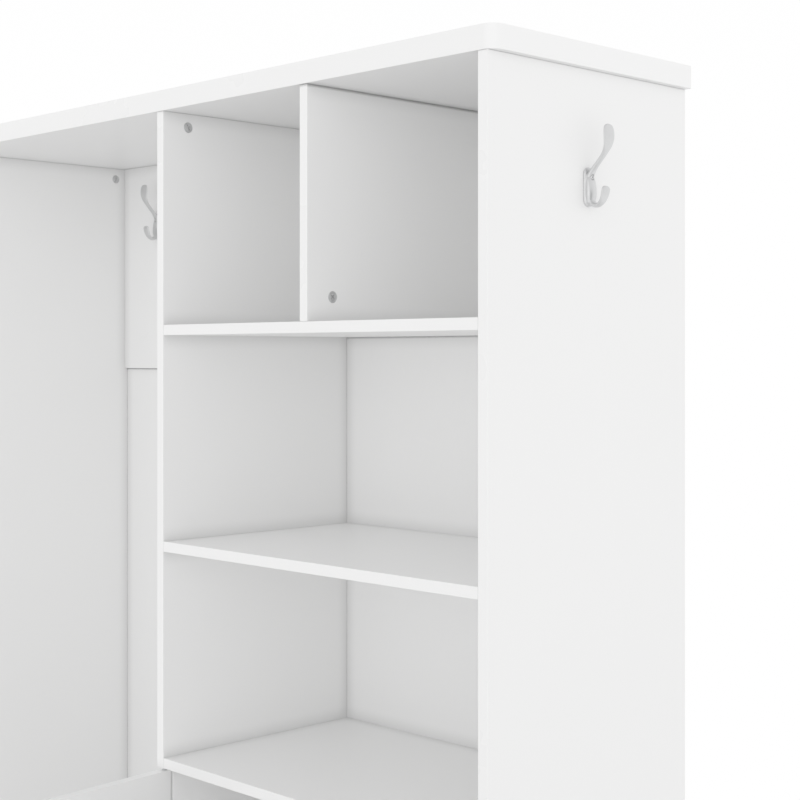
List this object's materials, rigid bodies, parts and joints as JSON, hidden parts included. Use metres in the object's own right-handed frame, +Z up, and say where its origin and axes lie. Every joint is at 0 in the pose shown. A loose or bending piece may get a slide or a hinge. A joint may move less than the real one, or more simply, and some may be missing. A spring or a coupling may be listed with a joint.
{
  "type": "hall tree with hooks",
  "caption": "White hall tree: open coat bay with double hooks over a shoe bench, beside a column of open shelves over a cabinet with doors.",
  "frame": {"origin": "on the floor, at the middle of the underside of the foot below the central divider, which is the middle of the carcass footprint", "axes": "+Z up, -Y towards the user in front, +X to the right when facing the front"},
  "size_m": [1.3363, 0.6955, 1.803],
  "materials": {
    "white_board": "satin white melamine on chipboard with matching edge band",
    "white_sheet": "matt white foil on thin fibreboard",
    "hook_metal": "satin nickel",
    "steel": "zinc plated",
    "cam_grey": "die-cast zinc, dull grey",
    "white_plastic": "matt moulded nylon"
  },
  "bodies": {
    "carcass": {"bay_back_panel": "white_sheet", "bay_hook_1": "hook_metal", "bay_hook_1_screw": "hook_metal", "bay_hook_2": "hook_metal", "bay_hook_2_screw": "hook_metal", "bay_hook_3": "hook_metal", "bay_hook_3_screw": "hook_metal", "bench_back_panel": "white_sheet", "bench_bottom": "white_board", "bench_divider": "white_board", "bench_plinth": "white_board", "bench_seat": "white_board", "cabinet_back_panel": "white_sheet", "cabinet_bottom": "white_board", "cabinet_plinth": "white_board", "cabinet_shelf": "white_board", "cabinet_top": "white_board", "centre_foot": "white_plastic", "column_back_panel": "white_sheet", "cubby_divider": "white_board", "cubby_divider_cam": "cam_grey", "cubby_shelf": "white_board", "divider_cam": "cam_grey", "double_door_catch": "white_plastic", "hook_board": "white_board", "left_back_foot": "white_plastic", "left_back_shelf_pin": "steel", "left_door_bottom_bush": "white_plastic", "left_door_top_bush": "white_plastic", "left_end_cam": "cam_grey", "left_end_panel": "white_board", "left_front_foot": "white_plastic", "left_front_shelf_pin": "steel", "lower_divider": "white_board", "middle_shelf": "white_board", "right_back_foot": "white_plastic", "right_back_shelf_pin": "steel", "right_door_bottom_bush": "white_plastic", "right_door_top_bush": "white_plastic", "right_end_panel": "white_board", "right_front_foot": "white_plastic", "right_front_shelf_pin": "steel", "shoe_shelf_left": "white_board", "shoe_shelf_right": "white_board", "side_hook": "hook_metal", "side_hook_screw": "hook_metal", "top_panel": "white_board", "upper_divider": "white_board"},
    "left_door": {"left_door": "white_board", "left_door_bottom_pivot": "steel", "left_door_knob": "hook_metal", "left_door_knob_bolt": "steel", "left_door_strike": "steel", "left_door_top_pivot": "steel"},
    "right_door": {"right_door": "white_board", "right_door_bottom_pivot": "steel", "right_door_knob": "hook_metal", "right_door_knob_bolt": "steel", "right_door_strike": "steel", "right_door_top_pivot": "steel"}
  },
  "joints": [
    {"name": "left_door_hinge", "type": "hinge", "parent": "carcass", "child": "left_door", "pos_m": [0, -0.19, 0.4358], "axis": [0, 0, 1], "range_deg": [-25, 85]},
    {"name": "right_door_hinge", "type": "hinge", "parent": "carcass", "child": "right_door", "pos_m": [0.62, -0.19, 0.4358], "axis": [0, 0, 1], "range_deg": [0, 95]}
  ]
}
